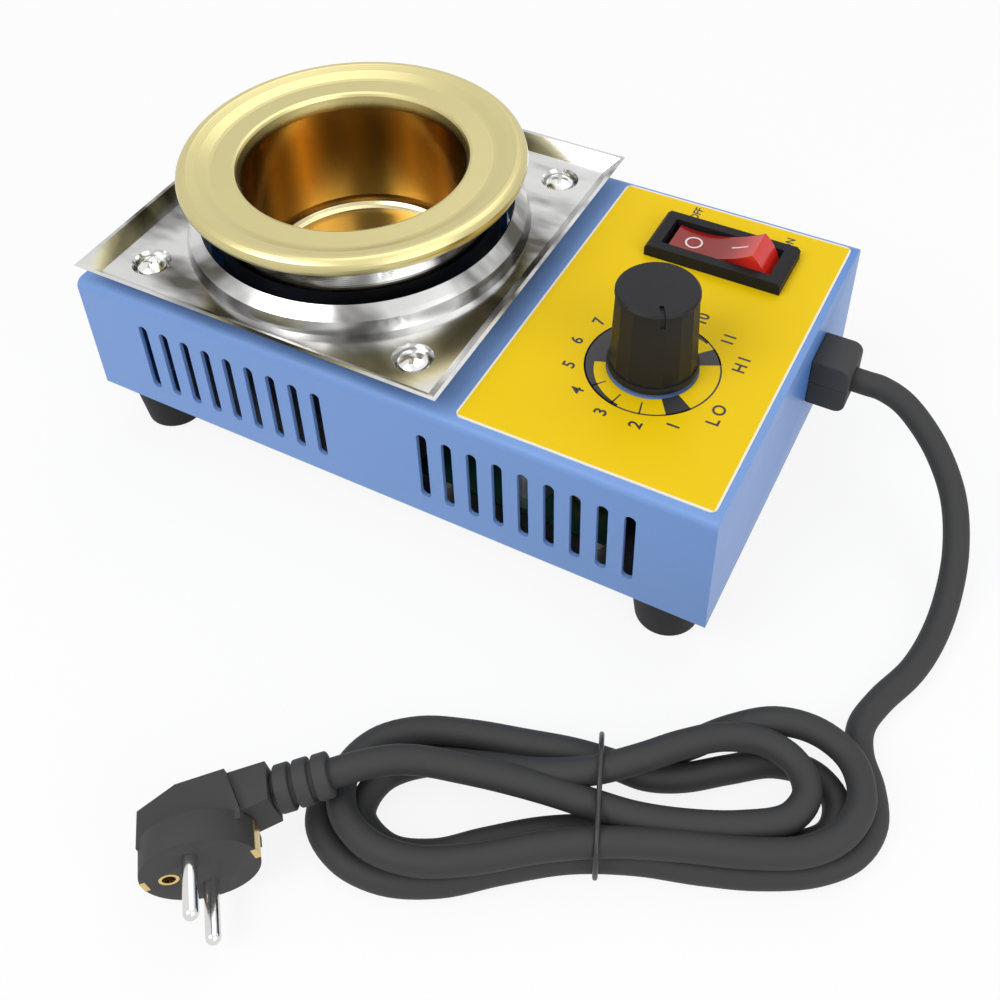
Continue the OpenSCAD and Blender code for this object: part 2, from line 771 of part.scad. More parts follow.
// Tube of diameter d along a route of points
module tube(route, d) {
    sides = 10;
    last = len(route) - 1;
    path = [for (i = [0:last - 1], t = [0, 0.5]) route_point(route, i, t), route[last]];
    n = len(path) - 1;
    points = [for (k = [0:n]) let (
        along = unit(path[min(k + 1, n)] - path[max(k - 1, 0)]),
        side = unit(cross(along, [0, 0, 1])), up = cross(side, along)
    ) for (j = [0:sides - 1]) path[k] + d / 2 * (cos(j * 360 / sides) * side
        + sin(j * 360 / sides) * up)];
    faces = [
        [for (j = [0:sides - 1]) j],
        for (k = [0:n - 1], j = [0:sides - 1])
            let (a = k * sides + j, b = k * sides + (j + 1) % sides) [a, a + sides, b + sides, b],
        [for (j = [sides - 1:-1:0]) n * sides + j]
    ];
    polyhedron(points = points, faces = faces);
}

module mains_cord() {
    color([0.07, 0.07, 0.07]) tube(run_points, cord_d);
}

module plug_cord() {
    color([0.07, 0.07, 0.07]) tube(tail_points, cord_d);
}

module cord_hank() {
    span = hank_b - hank_a;
    color([0.07, 0.07, 0.07])
    translate([hank_a[0], hank_a[1], 0]) rotate(atan2(span[1], span[0])) linear_extrude(hank_h) {
        circle(r = hank_r);
        translate([norm(span), 0]) circle(r = hank_r);
        translate([0, -hank_r]) square([norm(span), 2 * hank_r]);
    }
}

module cord_tie() {
    span = hank_b - hank_a;
    t = 1;
    color([0.1, 0.1, 0.1])
    translate([hank_a[0], hank_a[1], 0]) rotate(atan2(span[1], span[0]))
        translate([norm(span) * 0.5 - 1, -hank_r - t, 0]) difference() {
            cube([2, 2 * hank_r + 2 * t, hank_h + t]);
            translate([-e, t, -e]) cube([2 + 2 * e, 2 * hank_r, hank_h + e]);
        }
}

// The plug lies on its face's rim: pins along -Y, its cord along +X, before it is turned
module place_plug() {
    translate(plug_at) rotate([0, 0, plug_turn]) rotate([0, plug_roll, 0]) children();
}

// Round disc with two side flats for the earth clips, an angled trunk and a cord arm
module plug_body() {
    r = plug_d / 2;
    bend_x = -2;
    trunk_z = 6;
    color([0.1, 0.1, 0.11])
    place_plug() difference() {
        union() {
            rotate([-90, 0, 0]) cylinder(d = plug_d, h = 5.5);
            translate([0, 0, -trunk_z]) linear_extrude(2 * trunk_z) polygon([
                [1.2 - r, 4], [1.4 - r, 10.8], [bend_x, sleeve_y + 3.4], [7, sleeve_y + 3.6],
                [r - 1, 5.8], [r - 1, 4]
            ]);
            translate([0, 0, -4.5]) linear_extrude(9) polygon([
                [bend_x, sleeve_y + 3.4], [sleeve_x0, sleeve_y + 3.6], [sleeve_x0, sleeve_y - 3.6],
                [r - 1.2, 6], [bend_x, 6]
            ]);
        }
        for (s = [-1, 1]) translate([0, -e, s * pin_pitch / 2]) rotate([-90, 0, 0])
            cylinder(d = pin_d, h = 5 + e);
        translate([socket_x, -e, 0]) rotate([-90, 0, 0]) cylinder(d = socket_d, h = 5 + e);
        for (s = [-1, 1]) translate([s * r - 1, -e, -clip_w / 2]) cube([2, clip_l + e, clip_w]);
    }
}

module plug_sleeve() {
    ribs = 3;
    pitch = (sleeve_x1 - sleeve_x0) / ribs;
    color([0.1, 0.1, 0.11])
    place_plug() translate([sleeve_x0, sleeve_y, 0]) rotate([0, 90, 0]) rotate_extrude() {
        square([3.3, sleeve_x1 - sleeve_x0]);
        for (i = [0:ribs - 1]) translate([0, i * pitch + 0.8])
            square([4.3 - 0.1 * i, pitch - 0.8]);
    }
}

module plug_pins() {
    color([0.8, 0.81, 0.83])
    place_plug() for (s = [-1, 1]) translate([0, 0, s * pin_pitch / 2]) rotate([90, 0, 0]) {
        translate([0, 0, -5]) cylinder(d = pin_d, h = pin_l + 5 - pin_d / 2);
        translate([0, 0, pin_l - pin_d / 2]) sphere(d = pin_d);
    }
}

module earth_clips() {
    color([0.8, 0.75, 0.5])
    place_plug() for (s = [-1, 1])
        translate([s * plug_d / 2 - (s > 0 ? 1 : 0), 0, -clip_w / 2]) cube([1, clip_l, clip_w]);
}

module earth_socket() {
    color([0.8, 0.7, 0.4])
    place_plug() translate([socket_x, 0, 0]) rotate([-90, 0, 0]) difference() {
        cylinder(d = socket_d - 2 * socket_gap, h = 5);
        translate([0, 0, -e]) cylinder(d = socket_d - 1.2, h = 4.2);
    }
}

housing();
base_plate();
feet();
foot_screws();
drip_tray();
tray_screws();
tray_nuts();
crucible();
furnace_skirt();
furnace_can();
insulation_wall();
insulation_disc();
heater_band();
can_posts();
post_screws();
panel_label();
knob();
spindle();
regulator();
regulator_nut();
regulator_washer();
switch_body();
rocker();
switch_blades();
control_board();
board_standoffs();
heat_sink();
power_switch();
film_capacitor();
round_capacitor();
choke();
terminal_block();
inner_leads();
relief_upper();
relief_lower();
cord_stub();
mains_cord();
cord_hank();
cord_tie();
plug_cord();
plug_body();
plug_sleeve();
plug_pins();
earth_clips();
earth_socket();
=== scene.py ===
import math

import bpy
from bpy.props import FloatProperty, FloatVectorProperty, PointerProperty
from mathutils import Matrix, Vector
from mathutils.bvhtree import BVHTree


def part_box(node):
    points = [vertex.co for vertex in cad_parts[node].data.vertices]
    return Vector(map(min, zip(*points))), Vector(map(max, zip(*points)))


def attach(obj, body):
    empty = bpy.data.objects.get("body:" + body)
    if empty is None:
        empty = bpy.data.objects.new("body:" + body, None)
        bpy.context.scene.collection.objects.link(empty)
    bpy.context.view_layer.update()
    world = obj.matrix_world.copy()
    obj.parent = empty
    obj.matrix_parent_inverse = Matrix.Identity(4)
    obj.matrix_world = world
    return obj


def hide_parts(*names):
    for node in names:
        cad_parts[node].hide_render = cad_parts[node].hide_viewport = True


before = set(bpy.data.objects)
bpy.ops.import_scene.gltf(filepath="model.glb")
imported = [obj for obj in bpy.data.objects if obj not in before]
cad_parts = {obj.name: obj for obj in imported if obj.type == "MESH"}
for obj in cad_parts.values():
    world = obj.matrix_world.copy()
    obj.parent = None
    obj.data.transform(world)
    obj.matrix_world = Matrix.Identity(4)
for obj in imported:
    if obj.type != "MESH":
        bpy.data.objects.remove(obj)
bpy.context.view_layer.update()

bl_info = {
    "name": "Solder pot",
    "version": (1, 0, 0),
    "blender": (4, 5, 0),
    "location": "View3D > Sidebar > Solder pot",
    "description": "Dresses the packed solder pot: finishes, dial print, lead and plug",
    "category": "Object",
}

MM = 0.001
UP = Vector((0, 0, 1))


# ---------------------------------------------------------------- places from the frame

def corners(node):
    """Lowest and highest corner of a CAD node, as vectors."""
    low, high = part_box(node)
    return Vector(low), Vector(high)


def middle(node):
    """Middle of a CAD node's box."""
    low, high = corners(node)
    return (low + high) / 2


LABEL_LOW, LABEL_HIGH = corners("panel_label")
KNOB_LOW, KNOB_HIGH = corners("knob")
DIAL = Vector((middle("spindle").x, middle("spindle").y, LABEL_HIGH.z))
SWITCH = middle("switch_body")
POT = middle("crucible")
OUTLET = Vector((corners("relief_upper")[1].x, middle("cord_stub").y, middle("cord_stub").z))


# ---------------------------------------------------------------- sizes and colours

def length(name, description, value):
    """A length property in metres."""
    return FloatProperty(name=name, description=description, default=value, unit="LENGTH")


def colour(name, description, value):
    """A linear colour property."""
    return FloatVectorProperty(
        name=name, description=description, default=value, size=3, subtype="COLOR", min=0, max=1)


class PotSizes(bpy.types.PropertyGroup):
    """Sizes of the pieces that dress the pot"""
    lead_d: length("Lead diameter", "Outside diameter of the mains lead", 5.4 * MM)
    tie_d: length("Tie diameter", "Thickness of the wire tie round the hank", 1.0 * MM)
    ring_r: length("Dial ring", "Outside radius of the dial's printed ring", 14.0 * MM)
    ring_w: length("Ring line", "Width of the dial's thin lines", 0.36 * MM)
    block_r: length("Block radius", "Inside radius of the dial's thick blocks", 9.4 * MM)
    digit_h: length("Digit height", "Size of the dial's digits", 3.7 * MM)
    digit_r: length("Digit radius", "Distance of the digits from the spindle", 16.9 * MM)
    print_t: length("Print thickness", "How far printed ink stands off its surface", 0.03 * MM)


class PotColours(bpy.types.PropertyGroup):
    """Colours of the pot's finishes"""
    paint: colour("Paint", "Powder coat of the housing", (0.080, 0.225, 0.60))
    label: colour("Label", "Printed film on the control panel", (0.88, 0.60, 0.004))
    gold: colour("Gold", "Anodised brim of the crucible", (0.62, 0.55, 0.27))
    bore: colour("Bore", "Polished bore of the crucible", (0.50, 0.27, 0.055))
    steel: colour("Steel", "Polished stainless sheet", (0.64, 0.64, 0.635))
    rocker: colour("Rocker", "Red rocker of the switch", (0.56, 0.020, 0.014))


# ---------------------------------------------------------------- shader kit

class Value:
    """A socket in a shader; arithmetic on it adds Math nodes."""

    def __init__(self, shader, socket):
        self.shader, self.socket = shader, socket

    def math(self, operation, *others):
        return self.shader.node("ShaderNodeMath", {"operation": operation}, [self, *others])

    def __add__(self, other):
        return self.math("ADD", other)

    def __radd__(self, other):
        return self.math("ADD", other)

    def __mul__(self, other):
        return self.math("MULTIPLY", other)

    def __rmul__(self, other):
        return self.math("MULTIPLY", other)

    def __sub__(self, other):
        return self.math("SUBTRACT", other)

    def __rsub__(self, other):
        return self.shader.node("ShaderNodeMath", {"operation": "SUBTRACT"}, [other, self])

    def __truediv__(self, other):
        return self.math("DIVIDE", other)

    def above(self, edge, soft):
        """0 below edge, 1 above it, over the width soft."""
        return self.shader.node(
            "ShaderNodeMapRange", {"interpolation_type": "SMOOTHSTEP"},
            {"Value": self, "From Min": edge - soft / 2, "From Max": edge + soft / 2})


class Shader:
    """A material with one Principled shader, whose surface settings are given by name."""

    def __init__(self, name, **surface):
        self.material = bpy.data.materials.new(name)
        self.material.use_nodes = True
        self.tree = self.material.node_tree
        self.bsdf = next(n for n in self.tree.nodes if n.type == "BSDF_PRINCIPLED")
        for setting, value in surface.items():
            socket = self.bsdf.inputs[setting.replace("_", " ").title().replace("Ior", "IOR")]
            socket.default_value = (*value, 1) if isinstance(value, tuple) else value

    def node(self, kind, settings=None, inputs=None, out=0):
        """Adds a node: its settings first, then its sockets' values or links."""
        made = self.tree.nodes.new(kind)
        for setting, value in (settings or {}).items():
            if setting == "stops":
                ramp = made.color_ramp
                while len(ramp.elements) < len(value):
                    ramp.elements.new(0.5)
                for element, (place, tint) in zip(ramp.elements, value):
                    element.position, element.color = place, (*tint, 1)
            else:
                setattr(made, setting, value)
        pairs = inputs.items() if isinstance(inputs, dict) else enumerate(inputs or [])
        for key, value in pairs:
            if isinstance(value, Value):
                self.tree.links.new(value.socket, made.inputs[key])
            elif isinstance(value, tuple) and made.inputs[key].type == "RGBA":
                made.inputs[key].default_value = (*value, 1)
            else:
                made.inputs[key].default_value = value
        return Value(self, made.outputs[out])

    def place(self, about=(0, 0, 0), scale=(1, 1, 1)):
        """Object coordinates, from a point and stretched."""
        seen = self.node("ShaderNodeTexCoord", out="Object")
        return self.node("ShaderNodeMapping", {"vector_type": "TEXTURE"}, {
            "Vector": seen, "Location": about, "Scale": scale})

    def noise(self, scale, detail=3.0, about=(0, 0, 0), stretch=(1, 1, 1)):
        """Smooth noise, with scale in features per metre."""
        return self.node("ShaderNodeTexNoise", None, {
            "Vector": self.place(about, stretch), "Scale": scale, "Detail": detail})

    def axes(self, about=(0, 0, 0)):
        """The three coordinates, in metres, from a point."""
        split = self.node("ShaderNodeSeparateXYZ", None, {"Vector": self.place(about)})
        outputs = split.socket.node.outputs
        return [Value(self, outputs[i]) for i in range(3)]

    def mix(self, factor, first, second):
        """A colour between two colours."""
        return self.node("ShaderNodeMix", {"data_type": "RGBA"},
                         {0: factor, 6: first, 7: second}, out=2)

    def feed(self, socket, value):
        """Links a value to the Principled shader."""
        self.tree.links.new(value.socket, self.bsdf.inputs[socket])
        return self

    def bump(self, height, strength, distance):
        """Feeds a height through a Bump node to the normal."""
        return self.feed("Normal", self.node("ShaderNodeBump", None, {
            "Height": height, "Strength": strength, "Distance": distance}))


def speckled(name, tint, amount, scale, roughness, spread, grain, depth, **surface):
    """A finish with mottled colour, uneven roughness and a fine grain."""
    made = Shader(name, **surface)
    mottle = made.noise(scale)
    darker = tuple(c * (1 - amount) for c in tint)
    lighter = tuple(min(1, c * (1 + amount)) for c in tint)
    made.feed("Base Color", made.mix(mottle, darker, lighter))
    made.feed("Roughness", made.noise(scale * 3.1) * spread + (roughness - spread / 2))
    made.bump(made.noise(grain, 2.0), 0.35, depth)
    return made


# ---------------------------------------------------------------- finishes

def blue_paint(colours):
    """Semi-gloss powder coat with a fine orange peel, and a painted highlight: paler along its
    convex edges.
    """
    tint = tuple(colours.paint)
    made = speckled("blue_paint", tint, 0.05, 45, 0.40, 0.08, 1500, 0.00010,
                    coat_weight=0.06, coat_roughness=0.3, specular_ior_level=0.22)
    # Painted highlight: convex edges, found by pointiness, are mixed halfway towards a paler blue.
    edge_highlight = made.node("ShaderNodeNewGeometry", out="Pointiness").above(0.56, 0.06)
    mottle = made.mix(made.noise(45), tuple(c * 0.96 for c in tint), tint)
    made.feed("Base Color", made.mix(
        edge_highlight * 0.5, mottle, (0.30, 0.45, 0.78)))
    return made


def yellow_film(colours):
    """Printed film: flat warm yellow with a pale cut edge and a faint matt texture."""
    made = Shader("yellow_film", specular_ior_level=0.14)
    centre = (LABEL_LOW + LABEL_HIGH) / 2
    half = (LABEL_HIGH - LABEL_LOW) / 2
    x, y, z = made.axes(tuple(centre))
    edge_x = x.math("ABSOLUTE").above(half.x - 0.45 * MM, 0.1 * MM)
    edge_y = y.math("ABSOLUTE").above(half.y - 0.45 * MM, 0.1 * MM)
    tint = tuple(colours.label)
    mottle = made.mix(made.noise(30), tuple(c * 0.965 for c in tint), tint)
    made.feed("Base Color", made.mix(edge_x.math("MAXIMUM", edge_y), mottle, (0.90, 0.87, 0.72)))
    made.feed("Roughness", made.noise(220) * 0.10 + 0.36)
    return made.bump(made.noise(2600, 2.0), 0.18, 0.00005)


def polished_sheet(name, tint, rough, dark_reflection):
    """Polished sheet steel: painted cloudy soft reflections, with dark warm streaks, in its
    colour, and faint rolling lines.
    """
    made = Shader(name, metallic=1.0)
    # Painted reflections: cloudy noise sets dark, warm streaks and bright patches in the base
    # colour.
    reflection_cloud = made.noise(34, 3.0, stretch=(1.0, 0.45, 1))
    painted_reflections = made.node("ShaderNodeValToRGB", {"stops": [
        (0.36, (tint[0] * dark_reflection, tint[1] * dark_reflection * 0.93, tint[2] * dark_reflection * 0.80)),
        (0.47, tuple(c * 0.62 for c in tint)), (0.56, tint),
        (0.72, tuple(min(1, c * 1.10) for c in tint))]}, {"Fac": reflection_cloud})
    made.feed("Base Color", painted_reflections)
    lines = made.noise(260, 3.0, stretch=(1, 0.02, 1))
    made.feed("Roughness", lines * 0.07 + rough)
    return made.bump(lines, 0.10, 0.00004)


def gold_pot(colours):
    """Anodised spinning: satin gold brim with turned rings, painted shade under its roll, and a
    darker bore banded with painted reflections.
    """
    made = Shader("gold_pot", metallic=1.0)
    x, y, z = made.axes(tuple(POT))
    across = x * x + y * y
    radius = across.math("SQRT")
    rings = (radius * 9000).math("SINE") * 0.5 + 0.5
    wide = (radius * 2300).math("SINE") * 0.5 + 0.5
    bore_r = (corners("crucible")[1].x - POT.x) * 25 / 39
    flange = corners("crucible")[1].z - POT.z
    brim = radius.above(bore_r + 0.2 * MM, 0.8 * MM)
    around = y.math("ARCTAN2", x)
    # Painted reflections: dark and light bands by angle round the bore, in the bore colour.
    reflection_bands = made.node("ShaderNodeMath", {"operation": "SINE"}, [around * 5 + 0.7])
    bore_reflections = made.mix(reflection_bands * 0.5 + 0.5, tuple(c * 0.26 for c in colours.bore),
                      tuple(c * 1.25 for c in colours.bore))
    floor = 1 - z.above(-(corners("crucible")[1].z - corners("crucible")[0].z) / 2 + 4 * MM, MM)
    inside = made.mix(floor, bore_reflections, (0.66, 0.58, 0.34))
    satin = made.mix(made.noise(60), tuple(c * 0.94 for c in colours.gold), tuple(colours.gold))
    # Painted shade: the outside below the brim's roll is darkened towards brown.
    shade_under_roll = 1 - z.above(flange - 4.6 * MM, 1.2 * MM)
    satin = made.mix(shade_under_roll * 0.75, satin, (0.30, 0.24, 0.09))
    made.feed("Base Color", made.mix(brim, inside, satin))
    made.feed("Roughness", brim * 0.13 + made.noise(500) * 0.05 + 0.16)
    return made.bump(rings * 0.6 + wide * 0.4, 0.20, 0.00005)


def polished_skirt(colours):
    """Turned chrome-like skirt with fine circular lines and painted reflections: dark bands by
    angle round it.
    """
    made = Shader("polished_skirt", metallic=1.0)
    x, y, z = made.axes(tuple(POT))
    around = y.math("ARCTAN2", x)
    # Painted reflections: dark bands by angle round the skirt, in its base colour.
    reflection_bands = made.node("ShaderNodeMath", {"operation": "SINE"}, [around * 4 + 2.2])
    made.feed("Base Color", made.mix(
        reflection_bands.above(0.35, 1.1), tuple(colours.steel), (0.27, 0.26, 0.25)))
    made.feed("Roughness", made.noise(300) * 0.05 + 0.09)
    return made.bump((z * 12000).math("SINE"), 0.08, 0.00003)


def lead_black(name, rough, grain):
    """Soft black PVC with a faint sheen and a fine moulded grain."""
    return speckled(name, (0.010, 0.010, 0.011), 0.25, 60, rough, 0.10, grain, 0.00012,
                    specular_ior_level=0.09)


def red_plastic(colours):
    """Clear red moulding with painted light: deeper and darker in the middle as painted shade, lit
    towards its raised edge as a painted highlight with a faint painted glow.
    """
    made = Shader("red_rocker", coat_weight=0.35, coat_roughness=0.1, specular_ior_level=0.3)
    x, y, z = made.axes(tuple(middle("rocker")))
    # Painted light: lighter towards the raised edge, with a darker shaded copy of the red
    # elsewhere.
    lit = x.above(5 * MM, 9 * MM)
    tint = tuple(colours.rocker)
    made.feed("Base Color", made.mix(lit, tuple(c * 0.45 for c in tint), tint))
    # Painted glow: a faint emission, brighter towards the raised edge.
    made.bsdf.inputs["Emission Strength"].default_value = 0.12
    made.feed("Emission Color", made.mix(lit, (0.02, 0, 0), (1.0, 0.03, 0.01)))
    made.feed("Roughness", made.noise(600) * 0.08 + 0.18)
    return made.bump(made.noise(1700, 2.0), 0.12, 0.00008)


def make_finishes(colours):
    """Every finish, by name."""
    metal = dict(metallic=1.0)
    made = {
        "blue_paint": blue_paint(colours),
        "yellow_film": yellow_film(colours),
        # 0.16 sets how dark the painted reflection streaks in the stainless are.
        "stainless": polished_sheet("stainless", tuple(colours.steel), 0.13, 0.16),
        "zinc_steel": speckled("zinc_steel", (0.55, 0.55, 0.54), 0.15, 90, 0.36, 0.12,
                               900, 0.00004, **metal),
        "screw_steel": speckled("screw_steel", (0.78, 0.78, 0.77), 0.10, 260, 0.17, 0.08,
                                1400, 0.00003, **metal),
        "gold_pot": gold_pot(colours),
        "polished_skirt": polished_skirt(colours),
        "dark_steel": speckled("dark_steel", (0.075, 0.072, 0.070), 0.25, 80, 0.40, 0.15,
                               900, 0.00004, **metal),
        "insulation": speckled("insulation", (0.72, 0.68, 0.60), 0.12, 180, 0.92, 0.08,
                               700, 0.0004),
        "foot_rubber": speckled("foot_rubber", (0.022, 0.022, 0.024), 0.2, 120, 0.62, 0.12,
                                1200, 0.00012, specular_ior_level=0.12),
        "knob_plastic": speckled("knob_plastic", (0.017, 0.017, 0.019), 0.2, 90, 0.42, 0.10,
                                 1600, 0.00010, specular_ior_level=0.16),
        "bezel_plastic": speckled("bezel_plastic", (0.014, 0.014, 0.016), 0.2, 90, 0.46, 0.10,
                                  1800, 0.00012, specular_ior_level=0.12),
        "red_rocker": red_plastic(colours),
        "brass": speckled("brass", (0.72, 0.52, 0.20), 0.12, 300, 0.26, 0.10, 900, 0.00003,
                          **metal),
        "board_green": speckled("board_green", (0.010, 0.055, 0.030), 0.18, 140, 0.40, 0.10,
                                800, 0.00005, coat_weight=0.3),
        "white_plastic": speckled("white_plastic", (0.68, 0.67, 0.62), 0.06, 100, 0.45, 0.08,
                                  1200, 0.00008),
        "can_grey": speckled("can_grey", (0.45, 0.46, 0.48), 0.10, 120, 0.34, 0.10, 900,
                             0.00004, metallic=0.8),
        "film_brown": speckled("film_brown", (0.33, 0.075, 0.030), 0.15, 100, 0.30, 0.08,
                               900, 0.00006, coat_weight=0.4),
        "copper_wire": speckled("copper_wire", (0.72, 0.30, 0.12), 0.15, 400, 0.28, 0.10,
                                2200, 0.00015, **metal),
        "lead_brown": speckled("lead_brown", (0.13, 0.050, 0.020), 0.15, 100, 0.42, 0.08,
                               1200, 0.00006),
        "cord_black": lead_black("cord_black", 0.40, 1500),
        "plug_black": lead_black("plug_black", 0.52, 2600),
        "nickel": speckled("nickel", (0.70, 0.70, 0.69), 0.08, 240, 0.14, 0.06, 1200, 0.00003,
                           **metal),
        "dial_ink": speckled("dial_ink", (0.022, 0.021, 0.024), 0.15, 120, 0.55, 0.08, 1500,
                             0.00002),
        "pale_ink": speckled("pale_ink", (0.80, 0.72, 0.70), 0.06, 120, 0.45, 0.08, 1500,
                             0.00002),
        "tie_wire": speckled("tie_wire", (0.018, 0.018, 0.019), 0.2, 200, 0.38, 0.10, 1500,
                             0.00004),
    }
    return {name: finish.material for name, finish in made.items()}


NODE_FINISH = {
    "blue_paint": ["housing"],
    "zinc_steel": ["base_plate", "foot_screws", "tray_nuts", "post_screws", "regulator_nut",
                   "regulator_washer"],
    "foot_rubber": ["feet"],
    "stainless": ["drip_tray"],
    "screw_steel": ["tray_screws"],
    "gold_pot": ["crucible"],
    "polished_skirt": ["furnace_skirt"],
    "dark_steel": ["furnace_can", "heater_band", "can_posts"],
    "insulation": ["insulation_wall", "insulation_disc"],
    "yellow_film": ["panel_label"],
    "knob_plastic": ["knob"],
    "nickel": ["spindle", "plug_pins"],
    "bezel_plastic": ["switch_body", "regulator", "power_switch"],
    "red_rocker": ["rocker"],
    "brass": ["switch_blades", "earth_socket", "earth_clips"],
    "board_green": ["control_board"],
    "white_plastic": ["board_standoffs", "terminal_block"],
    "can_grey": ["heat_sink", "round_capacitor"],
    "film_brown": ["film_capacitor"],
    "copper_wire": ["choke"],
    "lead_brown": ["inner_leads"],
    "cord_black": ["cord_stub", "mains_cord", "cord_hank", "plug_cord", "cord_tie"],
    "plug_black": ["relief_upper", "relief_lower", "plug_body", "plug_sleeve"],
}


# ---------------------------------------------------------------- modelling helpers

def settings():
    """The scene's sizes and colours."""
    return bpy.context.scene.pot_sizes, bpy.context.scene.pot_colours


def deselect():
    """Leaves edit mode and selects nothing."""
    if bpy.context.object and bpy.context.object.mode != "OBJECT":
        bpy.ops.object.mode_set(mode="OBJECT")
    bpy.ops.object.select_all(action="DESELECT")


def take(piece):
    """Makes a piece the only selected and active object."""
    deselect()
    piece.select_set(True)
    bpy.context.view_layer.objects.active = piece
    return piece


def settle(piece):
    """Moves a piece's place into its mesh."""
    take(piece)
    bpy.ops.object.transform_apply(location=True, rotation=True, scale=True)
    return piece


def finish_piece(piece, name, finish, body):
    """Names a piece and gives it a finish and a body."""
    piece.name = name
    piece.data.name = name
    piece.data.materials.clear()
    piece.data.materials.append(bpy.data.materials[finish])
    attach(piece, body)
    return piece


def join(parts):
    """Joins meshes into the first."""
    deselect()
    for part in parts:
        part.select_set(True)
    bpy.context.view_layer.objects.active = parts[0]
    if len(parts) > 1:
        bpy.ops.object.join()
    return bpy.context.object


def curve(name, points, thickness, closed=False, per_step=6, resolution=6):
    """A smooth round-section curve through points in metres."""
    data = bpy.data.curves.new(name, "CURVE")
    data.dimensions = "3D"
    line = smooth(points, closed, per_step)
    spline = data.splines.new("POLY")
    spline.points.add(len(line) - 1)
    for point, at in zip(spline.points, line):
        point.co = (*at, 1)
    spline.use_cyclic_u = closed
    spline.use_smooth = True
    data.bevel_depth = thickness / 2
    data.bevel_resolution = resolution
    data.use_fill_caps = not closed
    made = bpy.data.objects.new(name, data)
    bpy.context.scene.collection.objects.link(made)
    return made


def smooth(points, closed, per_step):
    """Points on the centripetal curve through the given ones."""
    p = [Vector(q) for q in points]
    n = len(p)
    p = [p[-1], *p, p[0], p[1]] if closed else [2 * p[0] - p[1], *p, 2 * p[-1] - p[-2]]
    line = []
    for i in range(1, n + (1 if closed else 0)):
        a, b, c, d = p[i - 1:i + 3]
        t1 = (b - a).length ** 0.5
        t2 = t1 + (c - b).length ** 0.5
        t3 = t2 + (d - c).length ** 0.5
        for k in range(per_step):
            t = t1 + (t2 - t1) * k / per_step
            u = (t1 - t) / t1 * a + t / t1 * b
            v = (t2 - t) / (t2 - t1) * b + (t - t1) / (t2 - t1) * c
            w = (t3 - t) / (t3 - t2) * c + (t - t2) / (t3 - t2) * d
            s = (t2 - t) / t2 * u + t / t2 * v
            q = (t3 - t) / (t3 - t1) * v + (t - t1) / (t3 - t1) * w
            line.append((t2 - t) / (t2 - t1) * s + (t - t1) / (t2 - t1) * q)
    return line if closed else [*line, p[n]]


def flat_shape(name, outline):
    """A flat face with its outline in metres, at z = 0, facing up."""
    mesh = bpy.data.meshes.new(name)
    mesh.from_pydata([(x, y, 0) for x, y in outline], [], [list(range(len(outline)))])
    made = bpy.data.objects.new(name, mesh)
    bpy.context.scene.collection.objects.link(made)
    take(made)
    bpy.ops.object.mode_set(mode="EDIT")
    bpy.ops.mesh.select_all(action="SELECT")
    bpy.ops.mesh.normals_make_consistent(inside=False)
    bpy.ops.object.mode_set(mode="OBJECT")
    if made.data.polygons[0].normal.z < 0:
        made.data.flip_normals()
    return made


def sector(name, inner, outer, start, end, steps=24):
    """A flat sector about the spindle; inner may be a pair that it tapers between."""
    first, last = inner if isinstance(inner, tuple) else (inner, inner)
    out, back = [], []
    for i in range(steps + 1):
        share = i / steps
        angle = math.radians(start + (end - start) * share)
        turn = Vector((math.cos(angle), math.sin(angle)))
        out.append(DIAL.xy + outer * turn)
        back.append(DIAL.xy + (first + (last - first) * share) * turn)
    mesh = bpy.data.meshes.new(name)
    count = steps + 1
    faces = [[i, i + 1, count + i + 1, count + i] for i in range(steps)]
    mesh.from_pydata([(*q, 0) for q in out + back], [], faces)
    made = bpy.data.objects.new(name, mesh)
    bpy.context.scene.collection.objects.link(made)
    if mesh.polygons[0].normal.z < 0:
        mesh.flip_normals()
    return made


def words(text, size, x, y, turn=90.0):
    """Flat lettering, centred on a point, as a mesh."""
    deselect()
    bpy.ops.object.text_add(location=(0, 0, 0))
    made = bpy.context.object
    made.data.body = text
    made.data.size = size
    made.data.align_x = "CENTER"
    made.data.align_y = "CENTER"
    made.data.resolution_u = 4
    made.data.offset = 0.02 * size
    bpy.ops.object.convert(target="MESH")
    made = bpy.context.object
    made.matrix_world = Matrix.Translation((x, y, 0)) @ Matrix.Rotation(math.radians(turn), 4, "Z")
    return settle(made)


def lay_on(piece, node, ink):
    """Lays flat ink on a CAD node from above: every corner drops to the surface."""
    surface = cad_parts[node]
    tree = BVHTree.FromPolygons(
        [surface.matrix_world @ v.co for v in surface.data.vertices],
        [tuple(p.vertices) for p in surface.data.polygons])
    top = corners(node)[1].z + 10 * MM
    for vertex in piece.data.vertices:
        hit = tree.ray_cast(Vector((vertex.co.x, vertex.co.y, top)), -UP)[0]
        vertex.co.z = (hit.z if hit else corners(node)[1].z) + ink
    return piece


